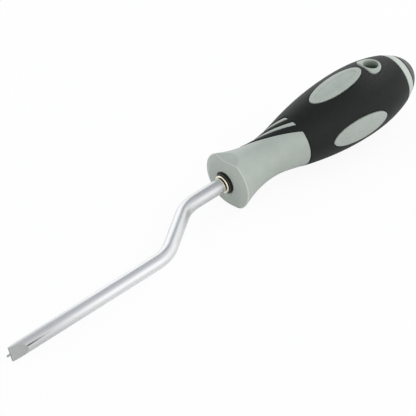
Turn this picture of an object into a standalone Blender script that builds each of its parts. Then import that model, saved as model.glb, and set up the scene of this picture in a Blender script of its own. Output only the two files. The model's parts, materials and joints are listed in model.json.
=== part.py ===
"""Cranked spoke nipple screwdriver whose bar turns freely in a two-shot handle. Metres, +Z up."""

import math

import bmesh
import bpy

# Clearance between pieces that fit together
GAP = 0.0003

# Hard core, from the nose face back: radii, and slopes where the outline isn't level
HANDLE_LENGTH = 0.1026
NOSE_RADIUS = 0.0124
NOSE_BORDER_DEPTH = 0.0014
NOSE_BORDER_WIDTH = 0.0031
NOSE_SLOPE = -0.405
NOSE_FLAT_HEIGHT = 0.0107
NECK_X = 0.0205
NECK_RADIUS = 0.00835
BELLY_TO_BAND = 0.0239
BELLY_RADIUS = 0.0156
EYE_SLOPE = -0.47
BAND_RADIUS = 0.01105
BAND_SLOPE = -0.37
BAND_WIDTH = 0.0041
BUTT_LENGTH = 0.0107

# Soft grip moulded into the core below its pads, with a slanted tongue and two slits at its front
GRIP_FRONT_X = 0.0362
GRIP_FRONT_RADIUS = 0.0110
GRIP_FRONT_SLOPE = 0.235
GRIP_BELLY_RADIUS = 0.01495
RUBBER_DEPTH = 0.0018
RUBBER_PROUD = 0.00015
TONGUE_ANGLE = math.radians(31.0)
TONGUE_Y = -0.0068
SLIT_START_Y = (-0.00375, 0.0010)
SLIT_WIDTH = 0.00165

# Hanging hole and the eye that rims it
HOLE_TO_BAND = 0.01095
HOLE_DIAMETER = 0.0064
EYE_FRONT_RIM = 0.0006
EYE_SIDE_RIM = 0.0023
EYE_REAR_RIM = 0.0010
EYE_CORNER = 0.0020

# Oval pads on four sides of the belly
PAD_SETBACK = 0.0114
PAD_TO_EYE = 0.00195
PAD_WIDTH = 0.0105

# Butt cap
CAP_SPIGOT_RADIUS = 0.0040
CAP_SPIGOT_LENGTH = 0.0045

# Bent bar, from the nose face forward
BAR_RADIUS = 0.0030
NOSE_TO_BEND = 0.0211
NOSE_TO_BLADE = 0.1254
CRANK_OFFSET = 0.0183
CRANK_RUN = 0.0257
BEND_RADIUS = 0.0175

# Ground blade and its pilot pin
BLADE_THICKNESS = 0.0008
BLADE_LENGTH = 0.0066
BLADE_GRIND_RADIUS = 0.0160
BLADE_TURN = math.radians(64.0)
PIN_RADIUS = 0.00045
PIN_LENGTH = 0.0017

# Bearings in the nose bore, which stops short of the hanging hole
BORE_TO_HOLE = 0.0160
BORE_END_SPACE = 0.0008
BUSH_WALL = 0.0007
FRONT_BUSH_LENGTH = 0.0138
REAR_BUSH_LENGTH = 0.0117
FLANGE_RIM = 0.00065
FLANGE_PROUD = 0.0005
FLANGE_SEAT_DEPTH = 0.0005
SPACER_WALL = 0.0005

# Washers, and open rings in grooves of the bar
THRUST_WASHER_RIM = 0.0009
THRUST_WASHER_THICKNESS = 0.0005
REAR_WASHER_THICKNESS = 0.0007
RING_THICKNESS = 0.0009
RING_PROUD = 0.0008
RING_GROOVE_DEPTH = 0.0006
RING_SLOT = 0.0016
BAR_END_LENGTH = 0.0028

# Facets
TURN_STEPS = 40
SMALL_STEPS = 24
SPAN_STEPS = 6
BEND_STEPS = 10
ARC_STEPS = 8
OVAL_STEPS = 40
BAR_BEVEL_RESOLUTION = 10

# Cutters reach this far past what they cut
REACH = 0.0250

# Points closer than this are one
WELD = 0.000001

# Places that follow from the sizes above
BAND_X = HANDLE_LENGTH - BUTT_LENGTH
BELLY_X = BAND_X - BELLY_TO_BAND
HOLE_X = BAND_X - HOLE_TO_BAND
EYE_FRONT_X = HOLE_X - HOLE_DIAMETER / 2 - EYE_FRONT_RIM
EYE_REAR_X = HOLE_X + HOLE_DIAMETER / 2 + EYE_REAR_RIM
PAD_FRONT_X = GRIP_FRONT_X + PAD_SETBACK
PAD_REAR_X = EYE_FRONT_X - PAD_TO_EYE
CAP_FRONT_X = BAND_X + BAND_WIDTH
SPIGOT_TIP_X = CAP_FRONT_X - CAP_SPIGOT_LENGTH
BORE_END_X = HOLE_X - HOLE_DIAMETER / 2 - BORE_TO_HOLE
BAR_INNER_X = BORE_END_X - BORE_END_SPACE
BLADE_X = -NOSE_TO_BLADE
FLAT_FRONT_X = NOSE_BORDER_DEPTH * (1 - (NOSE_RADIUS - NOSE_FLAT_HEIGHT) / NOSE_BORDER_WIDTH)

# Radii that follow from the bar
RUNNING_RADIUS = BAR_RADIUS + GAP
BUSH_RADIUS = RUNNING_RADIUS + BUSH_WALL
BORE_RADIUS = BUSH_RADIUS + GAP
FLANGE_RADIUS = BUSH_RADIUS + FLANGE_RIM
THRUST_WASHER_RADIUS = RUNNING_RADIUS + THRUST_WASHER_RIM
GROOVE_RADIUS = BAR_RADIUS - RING_GROOVE_DEPTH
RING_RADIUS = BAR_RADIUS + RING_PROUD

QUARTER = math.pi / 2
PARTS = "spoke_nipple_screwdriver"
CUTTERS = "cutters"


def clear_scene():
    """Remove every object and make the two collections."""
    for obj in list(bpy.data.objects):
        bpy.data.objects.remove(obj, do_unlink=True)
    for name in (PARTS, CUTTERS):
        old = bpy.data.collections.get(name)
        if old:
            bpy.data.collections.remove(old)
        bpy.context.scene.collection.children.link(bpy.data.collections.new(name))


def material(name, colour, roughness, metallic=0.0):
    """A plain finish for one kind of piece."""
    mat = bpy.data.materials.new(name)
    mat.use_nodes = True
    shader = mat.node_tree.nodes["Principled BSDF"]
    shader.inputs["Base Color"].default_value = (*colour, 1.0)
    shader.inputs["Roughness"].default_value = roughness
    shader.inputs["Metallic"].default_value = metallic
    return mat


def frame_empty(name, lean, turn):
    """An empty at the nose face on the handle's axis, which leans nose down, turned about that axis."""
    empty = bpy.data.objects.new(name, None)
    empty.rotation_euler = (turn, -lean, 0.0)
    bpy.data.collections[PARTS].objects.link(empty)
    return empty


def place(obj, parent, mat=None):
    """Put a piece in the parts, or a cutter in the cutters when it has no finish."""
    obj.parent = parent
    if mat is None:
        bpy.data.collections[CUTTERS].objects.link(obj)
        obj.hide_render = True
        obj.display_type = "WIRE"
    else:
        bpy.data.collections[PARTS].objects.link(obj)
        obj.data.materials.append(mat)
    return obj


def turned(name, outline, parent, mat=None, steps=TURN_STEPS):
    """Turn (x, radius) points about the handle's axis, listed from back to front on the outer side."""
    closed = min(radius for _, radius in outline) > 0.0
    count = len(outline)
    edges = [(i, (i + 1) % count) for i in range(count if closed else count - 1)]
    # Half a step of spin keeps facet edges off the centre lines of the pads
    spin = math.pi / steps
    points = [(radius * math.cos(spin), radius * math.sin(spin), x) for x, radius in outline]
    mesh = bpy.data.meshes.new(name)
    mesh.from_pydata(points, edges, [])
    obj = place(bpy.data.objects.new(name, mesh), parent, mat)
    obj.rotation_euler = (0.0, QUARTER, 0.0)
    screw = obj.modifiers.new("Turn", "SCREW")
    screw.axis = "Z"
    screw.steps = steps
    screw.render_steps = steps
    screw.use_merge_vertices = True
    screw.merge_threshold = WELD
    screw.use_smooth_shade = True
    return obj


def ring(name, place_x, inner, outer, parent, mat=None):
    """A plain turned ring or tube between two distances along the axis."""
    front, back = place_x
    outline = [(back, outer), (front, outer), (front, inner), (back, inner)]
    return turned(name, outline, parent, mat, SMALL_STEPS)


def poly_curve(name, points, dimensions, cyclic):
    """A curve object through the points, straight from one to the next."""
    curve = bpy.data.curves.new(name, "CURVE")
    curve.dimensions = dimensions
    spline = curve.splines.new("POLY")
    spline.points.add(len(points) - 1)
    for target, point in zip(spline.points, points):
        target.co = (*point, 1.0)
    spline.use_cyclic_u = cyclic
    obj = bpy.data.objects.new(name, curve)
    bpy.context.scene.collection.objects.link(obj)
    return obj


def mesh_from_curve(curve_obj):
    """Turn a curve into a welded mesh object and remove the curve."""
    bpy.context.view_layer.update()
    graph = bpy.context.evaluated_depsgraph_get()
    mesh = bpy.data.meshes.new_from_object(curve_obj.evaluated_get(graph))
    work = bmesh.new()
    work.from_mesh(mesh)
    bmesh.ops.remove_doubles(work, verts=work.verts, dist=WELD)
    bmesh.ops.recalc_face_normals(work, faces=work.faces)
    work.to_mesh(mesh)
    work.free()
    name = curve_obj.name
    bpy.data.objects.remove(curve_obj, do_unlink=True)
    mesh.name = name
    return bpy.data.objects.new(name, mesh)


def outline_cutter(name, outline, low, high, parent, turn=0.0):
    """A cutter with a plan outline, from low to high above the axis, turned about the axis."""
    curve_obj = poly_curve(name, [(x, y, 0.0) for x, y in outline], "2D", True)
    curve_obj.data.fill_mode = "BOTH"
    curve_obj.data.extrude = (high - low) / 2
    cutter = place(mesh_from_curve(curve_obj), parent)
    middle = (high + low) / 2
    cutter.location = (0.0, -math.sin(turn) * middle, math.cos(turn) * middle)
    cutter.rotation_euler = (turn, 0.0, 0.0)
    return cutter


def combine(obj, tool, operation="DIFFERENCE"):
    """Cut a piece with a tool, or join the tool to it."""
    boolean = obj.modifiers.new(tool.name, "BOOLEAN")
    boolean.operation = operation
    boolean.solver = "EXACT"
    boolean.object = tool


def arc(centre, radii, start, end, steps):
    """Points on an elliptical arc between two angles in radians."""
    angles = [start + (end - start) * i / steps for i in range(steps + 1)]
    return [(centre[0] + radii[0] * math.cos(a), centre[1] + radii[1] * math.sin(a)) for a in angles]


def oval(centre, radii, steps):
    """Points all round an ellipse."""
    return arc(centre, radii, 0.0, 2 * math.pi, steps)[:-1]


def span_points(start, end, steps):
    """Evenly spaced distances from start to end."""
    return [start + (end - start) * i / steps for i in range(steps + 1)]


def hermite(x, first, second):
    """Radius between two stations (x, radius, slope)."""
    x0, r0, m0 = first
    x1, r1, m1 = second
    span = x1 - x0
    t = (x - x0) / span
    start = (1 + 2 * t) * (1 - t) ** 2 * r0 + t * (1 - t) ** 2 * span * m0
    finish = t * t * (3 - 2 * t) * r1 + t * t * (t - 1) * span * m1
    return start + finish


def stations():
    """Stations of the core's outline from the nose's lip to the band."""
    return [
        (NOSE_BORDER_DEPTH, NOSE_RADIUS, NOSE_SLOPE),
        (NECK_X, NECK_RADIUS, 0.0),
        (GRIP_FRONT_X, GRIP_FRONT_RADIUS, GRIP_FRONT_SLOPE),
        (BELLY_X, BELLY_RADIUS, 0.0),
        (BAND_X, BAND_RADIUS, EYE_SLOPE),
    ]


def dome_radius(x):
    """Elliptical butt that leaves the band at its slope and closes at the handle's end."""
    pull = -BAND_SLOPE * BAND_RADIUS
    lead = pull * BUTT_LENGTH ** 2 / (BAND_RADIUS ** 2 - 2 * pull * BUTT_LENGTH)
    height = math.sqrt(BAND_RADIUS ** 2 + pull * lead)
    share = (lead + x - BAND_X) / (lead + BUTT_LENGTH)
    return height * math.sqrt(max(0.0, 1 - share * share))


def core_radius(x):
    """Radius of the core's outside at a distance behind the nose face."""
    marks = stations()
    if x >= BAND_X:
        return dome_radius(x)
    spans = [pair for pair in zip(marks, marks[1:]) if x <= pair[1][0]]
    return hermite(x, *spans[0])


def grip_radius(x):
    """Radius of the soft grip's outside, which the pads and the eye stand above."""
    if x <= GRIP_FRONT_X:
        return core_radius(x) + RUBBER_PROUD
    front = (GRIP_FRONT_X, GRIP_FRONT_RADIUS + RUBBER_PROUD, GRIP_FRONT_SLOPE)
    belly = (BELLY_X, GRIP_BELLY_RADIUS, 0.0)
    rear = (BAND_X, BAND_RADIUS + RUBBER_PROUD, BAND_SLOPE)
    if x <= BELLY_X:
        return hermite(x, front, belly)
    return hermite(x, belly, rear)


def grip_sleeve(name, shrink, outside, parent, mat=None):
    """Turned sleeve of the grip, drawn in by shrink where it meets the core."""
    marks = [stations()[0][0], GRIP_FRONT_X, BELLY_X, BAND_X - shrink]
    xs = marks[:1]
    for first, second in zip(marks, marks[1:]):
        xs += span_points(first, second, SPAN_STEPS + 1)[1:]
    outer = [(x, grip_radius(x) + outside) for x in reversed(xs)]
    inner = [(x, grip_radius(x) - RUBBER_DEPTH + shrink) for x in xs]
    return turned(name, outer + inner, parent, mat)


def front_outline(grow):
    """Plan outline of the bare core ahead of the grip: a square front edge and the slanted tongue."""
    slant = math.tan(TONGUE_ANGLE)
    edge_x = GRIP_FRONT_X + grow
    corner_y = TONGUE_Y + grow / math.cos(TONGUE_ANGLE) - grow * slant
    far_x = edge_x - (REACH - corner_y) / slant
    return [(-REACH, -REACH), (edge_x, -REACH), (edge_x, corner_y), (far_x, REACH), (-REACH, REACH)]


def slit_outline(start_y, grow):
    """Plan outline of one slit in the tongue, running out past the far side."""
    slant = math.tan(TONGUE_ANGLE)
    edge_x = GRIP_FRONT_X + grow
    low_y = start_y - grow / math.cos(TONGUE_ANGLE) - grow * slant
    high_y = low_y + (SLIT_WIDTH + 2 * grow) / math.cos(TONGUE_ANGLE)
    return [
        (edge_x, low_y),
        (edge_x, high_y),
        (edge_x - (REACH - high_y) / slant, REACH),
        (edge_x - (REACH - low_y) / slant, REACH),
    ]


def pad_outline(grow):
    """Oval pad seen from above."""
    centre = ((PAD_FRONT_X + PAD_REAR_X) / 2, 0.0)
    return oval(centre, ((PAD_REAR_X - PAD_FRONT_X) / 2 + grow, PAD_WIDTH / 2 + grow), OVAL_STEPS)


def eye_outline(grow):
    """Eye round the hanging hole: square shoulders towards the nose, half oval towards the butt."""
    half = HOLE_DIAMETER / 2 + EYE_SIDE_RIM + grow
    corner = EYE_CORNER + grow
    shoulder = EYE_FRONT_X + EYE_CORNER
    corners = (corner, corner)
    points = arc((shoulder, 0.0), (EYE_REAR_X + grow - shoulder, half), -QUARTER, QUARTER, 2 * ARC_STEPS)
    points += arc((shoulder, half - corner), corners, QUARTER, 2 * QUARTER, ARC_STEPS // 2)[1:]
    points += arc((shoulder, corner - half), corners, 2 * QUARTER, 3 * QUARTER, ARC_STEPS // 2)[:-1]
    return points


def grip_body(name, shrink, outside, parent, mat=None):
    """The soft grip, or with no shrink the pocket that it leaves in the core."""
    body = grip_sleeve(name, shrink, outside, parent, mat)
    combine(body, outline_cutter(f"{name}_front_cut", front_outline(shrink), -REACH, REACH, parent))
    for number, start_y in enumerate(SLIT_START_Y, 1):
        outline = slit_outline(start_y, shrink)
        combine(body, outline_cutter(f"{name}_slit_cut_{number}", outline, -REACH, REACH, parent))
    for number in range(4):
        window = f"{name}_window_cut_{number + 1}"
        turn = number * QUARTER
        combine(body, outline_cutter(window, pad_outline(shrink), NECK_RADIUS, REACH, parent, turn))
    combine(body, outline_cutter(f"{name}_eye_cut", eye_outline(shrink), -REACH, REACH, parent))
    return body


def core_places():
    """Distances along the core's outside where its outline has a point, from the cap to the nose."""
    marks = stations()
    xs = [CAP_FRONT_X, (CAP_FRONT_X + BAND_X) / 2]
    for first, second in reversed(list(zip(marks, marks[1:]))):
        xs += span_points(second[0], first[0], SPAN_STEPS)[:-1]
    return xs


def core_outline():
    """Outline of the core from its spigot socket, forward over the outside, and back along the bore."""
    socket = CAP_SPIGOT_RADIUS + GAP
    outline = [(SPIGOT_TIP_X - GAP, 0.0), (SPIGOT_TIP_X - GAP, socket), (CAP_FRONT_X, socket)]
    outline += [(x, core_radius(x)) for x in core_places()]
    outline += [(NOSE_BORDER_DEPTH, NOSE_RADIUS), (0.0, NOSE_RADIUS - NOSE_BORDER_WIDTH)]
    seat = FLANGE_RADIUS + GAP
    outline += [(0.0, seat), (FLANGE_SEAT_DEPTH, seat), (FLANGE_SEAT_DEPTH, BORE_RADIUS)]
    return outline + [(BORE_END_X, BORE_RADIUS), (BORE_END_X, 0.0)]


def make_core(parent, mat):
    """Hard core moulding: nose, neck, pads, eye and band, pocketed for the grip and bored for the bar."""
    core = turned("handle_core", core_outline(), parent, mat)
    combine(core, grip_body("grip_pocket", 0.0, REACH - BELLY_RADIUS, parent))
    hole = oval((HOLE_X, 0.0), (HOLE_DIAMETER / 2, HOLE_DIAMETER / 2), SMALL_STEPS)
    combine(core, outline_cutter("hanging_hole_cut", hole, -REACH, REACH, parent))
    flat = [(-REACH, -REACH), (NECK_X, -REACH), (NECK_X, REACH), (-REACH, REACH)]
    for number in range(2):
        name = f"nose_flat_cut_{number + 1}"
        combine(core, outline_cutter(name, flat, NOSE_FLAT_HEIGHT, REACH, parent, number * math.pi))


def make_cap(parent, mat):
    """Domed butt cap with a spigot that presses into the core."""
    front = CAP_FRONT_X + GAP
    depth = HANDLE_LENGTH - front
    angles = span_points(0.0, QUARTER, ARC_STEPS)
    xs = [front + depth * math.cos(angle) for angle in angles[1:]]
    outline = [(HANDLE_LENGTH, 0.0)] + [(x, dome_radius(x)) for x in xs]
    outline += [(front, CAP_SPIGOT_RADIUS), (SPIGOT_TIP_X, CAP_SPIGOT_RADIUS), (SPIGOT_TIP_X, 0.0)]
    turned("butt_cap", outline, parent, mat)


def bearing_places():
    """Front and back of each bush, washer and ring along the bar."""
    clip_back = BAR_INNER_X - BAR_END_LENGTH
    clip = (clip_back - RING_THICKNESS, clip_back)
    washer = (clip[0] - GAP - REAR_WASHER_THICKNESS, clip[0] - GAP)
    rear_bush = (washer[0] - GAP - REAR_BUSH_LENGTH, washer[0] - GAP)
    flange_seat = FLANGE_SEAT_DEPTH - GAP
    front_bush = (flange_seat, flange_seat + FRONT_BUSH_LENGTH)
    thrust_back = -FLANGE_PROUD - GAP
    thrust = (thrust_back - THRUST_WASHER_THICKNESS, thrust_back)
    return {
        "snap_ring": (thrust[0] - GAP - RING_THICKNESS, thrust[0] - GAP),
        "thrust_washer": thrust,
        "front_bush": front_bush,
        "spacer_tube": (front_bush[1] + GAP, rear_bush[0] - GAP),
        "rear_bush": rear_bush,
        "rear_washer": washer,
        "rear_circlip": clip,
    }


def make_bearings(parent, bush_mat, steel_mat):
    """Flanged front bush, spacer tube and rear bush in the core's bore."""
    places = bearing_places()
    seat, back = places["front_bush"]
    outline = [(back, BUSH_RADIUS), (seat, BUSH_RADIUS), (seat, FLANGE_RADIUS)]
    outline += [(-FLANGE_PROUD, FLANGE_RADIUS), (-FLANGE_PROUD, RUNNING_RADIUS), (back, RUNNING_RADIUS)]
    turned("front_bush", outline, parent, bush_mat, SMALL_STEPS)
    ring("spacer_tube", places["spacer_tube"], BUSH_RADIUS - SPACER_WALL, BUSH_RADIUS, parent, steel_mat)
    ring("rear_bush", places["rear_bush"], RUNNING_RADIUS, BUSH_RADIUS, parent, bush_mat)


def make_washers(parent, bush_mat, steel_mat):
    """Thrust washer in front of the nose, and a washer behind the rear bush."""
    places = bearing_places()
    ring("thrust_washer", places["thrust_washer"], RUNNING_RADIUS, THRUST_WASHER_RADIUS, parent, bush_mat)
    ring("rear_washer", places["rear_washer"], RUNNING_RADIUS, BUSH_RADIUS, parent, steel_mat)


def make_open_ring(name, parent, mat):
    """A slotted ring that snaps into a groove of the bar."""
    front, back = bearing_places()[name]
    open_ring = ring(name, (front, back), GROOVE_RADIUS + GAP, RING_RADIUS, parent, mat)
    half = RING_SLOT / 2
    slot = [(front - REACH, -half), (back + REACH, -half), (back + REACH, half), (front - REACH, half)]
    combine(open_ring, outline_cutter(f"{name}_slot_cut", slot, GROOVE_RADIUS / 2, REACH, parent, math.pi))


def bar_path():
    """Centreline of the bent bar in its own plane, from the inner end to the blade."""
    slope = math.atan2(CRANK_OFFSET, CRANK_RUN)
    tangent = BEND_RADIUS * math.tan(slope / 2)
    radii = (BEND_RADIUS, BEND_RADIUS)
    first = (tangent - NOSE_TO_BEND, -BEND_RADIUS)
    second = (-NOSE_TO_BEND - CRANK_RUN - tangent, BEND_RADIUS - CRANK_OFFSET)
    path = [(BAR_INNER_X, 0.0)]
    path += arc(first, radii, QUARTER, QUARTER + slope, BEND_STEPS)
    path += arc(second, radii, slope - QUARTER, -QUARTER, BEND_STEPS)
    return path + [(BLADE_X, -CRANK_OFFSET)]


def grind_outline():
    """What is ground off one side of the blade: a hollow arc from the tip up to the bar's skin."""
    half = BLADE_THICKNESS / 2
    rise = BAR_RADIUS - half
    lean = math.atan2(rise, BLADE_LENGTH)
    swing = math.asin(math.hypot(BLADE_LENGTH, rise) / (2 * BLADE_GRIND_RADIUS))
    depth = BLADE_GRIND_RADIUS * math.cos(swing)
    centre = (BLADE_X + BLADE_LENGTH / 2 - depth * math.sin(lean), half + rise / 2 + depth * math.cos(lean))
    foot = lean - QUARTER
    overrun = swing / 2
    radii = (BLADE_GRIND_RADIUS, BLADE_GRIND_RADIUS)
    points = arc(centre, radii, foot - swing - overrun, foot + swing + overrun, 2 * ARC_STEPS)
    return points + [(points[0][0], points[-1][1])]


def make_shaft(parent, mat):
    """Bent bar with its ring grooves, ground blade and pilot pin."""
    curve_obj = poly_curve("crank_shaft", [(x, 0.0, z) for x, z in bar_path()], "3D", False)
    curve_obj.data.bevel_depth = BAR_RADIUS
    curve_obj.data.bevel_resolution = BAR_BEVEL_RESOLUTION
    curve_obj.data.use_fill_caps = True
    bar = place(mesh_from_curve(curve_obj), parent, mat)
    places = bearing_places()
    for name in ("snap_ring", "rear_circlip"):
        front, back = places[name]
        combine(bar, ring(f"{name}_groove_cut", (front - GAP, back + GAP), GROOVE_RADIUS, REACH, parent))
    for number in range(2):
        cut = outline_cutter(f"blade_grind_cut_{number + 1}", grind_outline(), -REACH, REACH, parent)
        cut.location = (0.0, 0.0, -CRANK_OFFSET)
        cut.rotation_euler = (BLADE_TURN + number * math.pi, 0.0, 0.0)
        combine(bar, cut)
    root = BLADE_X + BLADE_LENGTH / 2
    end = BLADE_X - PIN_LENGTH
    chamfer = PIN_RADIUS / 2
    outline = [(root, 0.0), (root, PIN_RADIUS), (end + chamfer, PIN_RADIUS), (end, chamfer), (end, 0.0)]
    pin = turned("pilot_pin_add", outline, parent, None, SMALL_STEPS // 2)
    pin.location = (0.0, 0.0, -CRANK_OFFSET)
    combine(bar, pin, "UNION")


def resting_lean():
    """How far the axis leans nose down while the nose flat's edge and the lower pad touch the bench."""
    facet = math.cos(math.pi / TURN_STEPS)
    behind_neck = [x for x in core_places() if x > NECK_X]
    return max(math.atan2(core_radius(x) * facet - NOSE_FLAT_HEIGHT, x - FLAT_FRONT_X) for x in behind_neck)


def resting_turn(lean):
    """Turn of the crank, out to one side, that lets the tip of the bar down to the bench."""
    tip = BLADE_X + BLADE_LENGTH / 2 - FLAT_FRONT_X
    axis_height = NOSE_FLAT_HEIGHT * math.cos(lean) + tip * math.sin(lean)
    return -QUARTER - math.asin((BAR_RADIUS - axis_height) / (CRANK_OFFSET * math.cos(lean)))


def set_down(frames):
    """Move the tool so that its lowest point is on the bench and its box is centred over the origin."""
    bpy.context.view_layer.update()
    graph = bpy.context.evaluated_depsgraph_get()
    corners = []
    for obj in bpy.data.collections[PARTS].objects:
        if obj.type == "MESH":
            mesh = obj.evaluated_get(graph).to_mesh()
            corners += [obj.matrix_world @ vertex.co for vertex in mesh.vertices]
    middle_x = (min(c.x for c in corners) + max(c.x for c in corners)) / 2
    middle_y = (min(c.y for c in corners) + max(c.y for c in corners)) / 2
    lowest = min(c.z for c in corners)
    for empty in frames:
        empty.location = (-middle_x, -middle_y, -lowest)


def main():
    clear_scene()
    grey = material("grey_core", (0.41, 0.46, 0.42), 0.45)
    black = material("black_rubber", (0.028, 0.031, 0.030), 0.65)
    cap = material("black_cap", (0.035, 0.037, 0.036), 0.55)
    bush = material("black_nylon", (0.010, 0.011, 0.010), 0.40)
    chrome = material("satin_chrome", (0.72, 0.73, 0.75), 0.18, 1.0)
    bright = material("bright_ring", (0.70, 0.68, 0.58), 0.25, 1.0)
    steel = material("plain_steel", (0.50, 0.50, 0.50), 0.35, 1.0)

    # The tool lies on its nose, its lower pad and the tip of its bar
    lean = resting_lean()
    handle = frame_empty("handle_frame", lean, 0.0)
    crank = frame_empty("crank_frame", lean, resting_turn(lean))

    make_core(handle, grey)
    grip_body("rubber_grip", GAP, 0.0, handle, black)
    make_cap(handle, cap)
    make_bearings(handle, bush, steel)
    make_shaft(crank, chrome)
    make_washers(crank, bush, steel)
    make_open_ring("snap_ring", crank, bright)
    make_open_ring("rear_circlip", crank, steel)
    set_down((handle, crank))


main()
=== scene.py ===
"""Cranked spoke nipple screwdriver: two-shot handle, bent plated bar and stage round the CAD frame."""

import json
import math

import bmesh
import bpy
import numpy as np
from bpy.props import FloatProperty, FloatVectorProperty, IntProperty, PointerProperty
from mathutils import Matrix, Vector, kdtree


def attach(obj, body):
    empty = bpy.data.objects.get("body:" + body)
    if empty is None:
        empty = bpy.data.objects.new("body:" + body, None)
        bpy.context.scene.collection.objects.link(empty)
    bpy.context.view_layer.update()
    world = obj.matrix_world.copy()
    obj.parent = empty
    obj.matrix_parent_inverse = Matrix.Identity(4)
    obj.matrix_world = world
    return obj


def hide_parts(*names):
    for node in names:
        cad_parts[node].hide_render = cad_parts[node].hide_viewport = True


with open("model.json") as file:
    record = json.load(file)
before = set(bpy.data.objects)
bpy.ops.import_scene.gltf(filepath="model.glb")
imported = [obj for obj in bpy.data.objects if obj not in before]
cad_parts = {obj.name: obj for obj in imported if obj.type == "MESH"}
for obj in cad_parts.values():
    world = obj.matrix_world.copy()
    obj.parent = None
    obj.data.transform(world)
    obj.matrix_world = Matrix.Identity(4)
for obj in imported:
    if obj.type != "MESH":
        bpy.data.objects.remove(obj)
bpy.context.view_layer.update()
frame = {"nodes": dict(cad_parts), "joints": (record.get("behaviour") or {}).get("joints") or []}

bl_info = {
    "name": "Spoke Nipple Screwdriver",
    "version": (1, 0, 0),
    "blender": (4, 5, 0),
    "location": "3D View > Sidebar > Screwdriver",
    "description": "Builds the two-shot handle, the bent bar and the stage of a spoke nipple screwdriver",
    "category": "Object",
}

# The crank's hinge gives the nose centre and the handle's axis as the tool lies
HINGE = frame["joints"][0]
NOSE = Vector(HINGE["pos_m"])
AXIS = Vector(HINGE["axis"]).normalized()
SIDE = Vector((0.0, 1.0, 0.0))
RISE = AXIS.cross(SIDE)
HANDLE_FRAME = Matrix.Translation(NOSE) @ Matrix((AXIS, SIDE, RISE)).transposed().to_4x4()

MM = 0.001
QUARTER = math.pi / 2
WHITE = (1.0, 1.0, 1.0, 1.0)

# Handle outline behind the nose face, as (distance, radius, slope)
NOSE_SLOPE = -0.405
BORDER_BULGE = 0.8
NECK = (20.5 * MM, 8.35 * MM, 0.0)
GRIP_FRONT = (36.2 * MM, 11.0 * MM, 0.235)
BELLY = (68.0 * MM, 15.6 * MM, 0.0)
BAND = (91.9 * MM, 11.05 * MM, -0.37)
EYE_REAR = (91.9 * MM, 11.05 * MM, -0.47)
BAND_REAR = BAND[0] + 4.1 * MM
GAP = 0.3 * MM
CAP_FRONT = BAND_REAR + GAP
HANDLE_END = 102.6 * MM
EDGE_ROUND = 0.25 * MM

# Bare patches of the core: tongue line, slits, pads, sunk panel, hole with its eye, and band
TONGUE_SLANT = math.radians(31.0)
TONGUE_START = -6.6 * MM
TONGUE_END = 36.55 * MM
SLIT_STARTS = (-3.40 * MM, 1.35 * MM)
SLIT_WIDTH = 1.65 * MM
PAD_FRONT = 47.6 * MM
PAD_REAR = 75.2 * MM
PAD_MIDDLE = (PAD_FRONT + PAD_REAR) / 2
PAD_WIDTH = 10.5 * MM
PAD_ASIDE = 0.28 * MM
PANEL_LENGTH = 22.4 * MM
PANEL_WIDTH = 5.7 * MM
PANEL_EDGE = 0.1 * MM
HOLE_X = 80.95 * MM
EYE_FRONT_RIM = 0.6 * MM
EYE_SIDE_RIM = 2.3 * MM
EYE_REAR_RIM = 1.0 * MM
EYE_CORNER = 2.0 * MM
BAND_EDGE = 92.25 * MM

# Limits of the distances over the handle, the levels where its sheet is cut, steps and tolerances
FIELD_LIMIT = 2.0 * MM
FIELD_STEP = 0.05 * MM
FAR_OUTSIDE = -1.0
LEAST_REACH = 0.05
LEAST_PULL = 1e-9
SLOPE_LIMITS = (0.4, 2.5)
FACING_SINE = 0.5
LEAST_SINE = 0.2
PAD_CUTS = (1.0, 0.5, 0.2, 0.05, 0.0)
RUBBER_CUTS = (0.0, 0.25, 1.0)
POCKET_CUT = -0.04 * MM
POCKET_START = -0.02 * MM
POCKET_ROOM = 0.1 * MM
HOLE_CUTS = (0.0, 0.1 * MM, 0.25 * MM, 0.5 * MM)
CUT_TOLERANCE = 0.02 * MM
PATH_STEP = 0.02 * MM
RIM_MATCH = 0.05 * MM
WELD = 0.001 * MM
BORE_WELD = 0.002 * MM

# Bores of the core, and the front bush's barrel
SEAT_RADIUS = 4.95 * MM
SEAT_DEPTH = 0.5 * MM
BORE_RADIUS = 4.3 * MM
BORE_END = 61.75 * MM
SOCKET_RADIUS = 4.3 * MM
SOCKET_END = 91.2 * MM
RUNNING_RADIUS = 3.3 * MM
BUSH_RADIUS = 4.0 * MM
BUSH_END = 14.0 * MM

# Rings as their front and back, inner and outer radius, and rounding
FLANGE = (-0.5 * MM, 0.2 * MM, RUNNING_RADIUS, 4.65 * MM, 0.18 * MM)
WASHER = (-1.1 * MM, -0.65 * MM, RUNNING_RADIUS, 4.2 * MM, 0.18 * MM)
RING = (-1.95 * MM, -1.3 * MM, 2.7 * MM, 3.85 * MM, 0.31 * MM)

# Groove of the snap ring, and the bar's three materials, the third being painted shade in the groove
GROOVE = (-2.45 * MM, -1.15 * MM)
GROOVE_DEPTH = 0.6 * MM
GROOVE_EDGE = 0.06 * MM
PLATED, GROUND, SHADED_GROOVE = range(3)

# Mesh rows and columns, and the angles above which edges stay sharp
FACE_ROWS = 8
LIP_ROWS = 13
LIP_CROWDING = 1.5
BEHIND_LIP = 0.5 * MM
BEHIND_LIP_ROWS = 9
EDGE_ROWS = 5
CAP_ROWS = 36
CAP_COLUMNS = 120
RING_COLUMNS = 96
PIN_COLUMNS = 24
BEND_ROWS = 41
BAR_ROWS = 260
BLADE_ROWS = 60
ABOVE_BLADE = 2 * MM
MOULDED_SHARP = math.radians(40.0)
TURNED_SHARP = math.radians(30.0)
BAR_SHARP = math.radians(25.0)
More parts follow.
